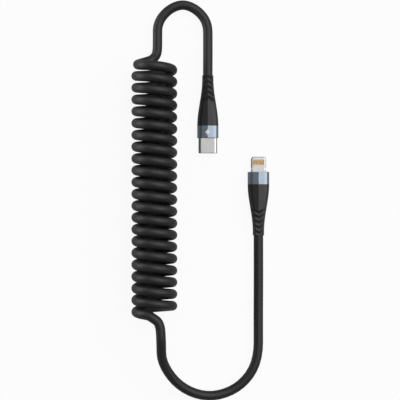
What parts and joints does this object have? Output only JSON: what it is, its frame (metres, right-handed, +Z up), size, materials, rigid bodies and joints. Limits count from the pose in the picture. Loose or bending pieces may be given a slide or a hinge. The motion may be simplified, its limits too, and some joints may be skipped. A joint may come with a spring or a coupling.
{
  "type": "coiled charging cable",
  "caption": "Coiled black charging cable with an oval charger plug at one end and a flat phone plug at the other, each with a metal collar and a grooved strain relief.",
  "frame": {"origin": "middle of the laid-out cable, on the surface it lies on", "axes": "+Z up from that surface, +Y along the coil towards the charger end, +X from the coil to the plugs"},
  "size_m": [0.0604, 0.176, 0.02],
  "materials": {
    "boot_rubber": "moulded matt black elastomer",
    "cord_jacket": "extruded matt black elastomer",
    "collar_metal": "anodised blue-grey, satin",
    "shell_steel": "drawn, satin nickel plated",
    "tab_steel": "sintered, satin plated",
    "spring_steel": "rolled spring sheet",
    "contact_gold": "gold plated copper alloy",
    "insulator_black": "moulded high-temperature plastic",
    "carrier_white": "moulded white plastic",
    "board_green": "glass-epoxy board with solder mask",
    "chip_black": "moulded epoxy package",
    "capacitor_tan": "ceramic",
    "wire_insulation": "extruded wire insulation",
    "mould_clear": "injected polyethylene"
  },
  "bodies": {
    "root": {"charger_plug_boot": "boot_rubber", "charger_plug_collar": "collar_metal", "charger_plug_shell": "shell_steel", "charger_plug_insulator": "insulator_black", "charger_plug_contacts_upper": "contact_gold", "charger_plug_contacts_lower": "contact_gold", "charger_plug_latch": "spring_steel", "charger_plug_ground_springs": "spring_steel", "charger_plug_board": "board_green", "charger_plug_resistor": "chip_black", "charger_plug_capacitor": "capacitor_tan", "charger_plug_wires": "wire_insulation", "charger_plug_inner_mould": "mould_clear", "phone_plug_boot": "boot_rubber", "phone_plug_collar": "collar_metal", "phone_plug_tab": "tab_steel", "phone_plug_contact_carrier": "carrier_white", "phone_plug_contacts_front": "contact_gold", "phone_plug_contacts_back": "contact_gold", "phone_plug_board": "board_green", "phone_plug_chip": "chip_black", "phone_plug_capacitors": "capacitor_tan", "phone_plug_wires": "wire_insulation", "phone_plug_inner_mould": "mould_clear", "cord_lead_charger_end": "cord_jacket", "cord_coil": "cord_jacket", "cord_lead_phone_end": "cord_jacket"}
  },
  "joints": []
}
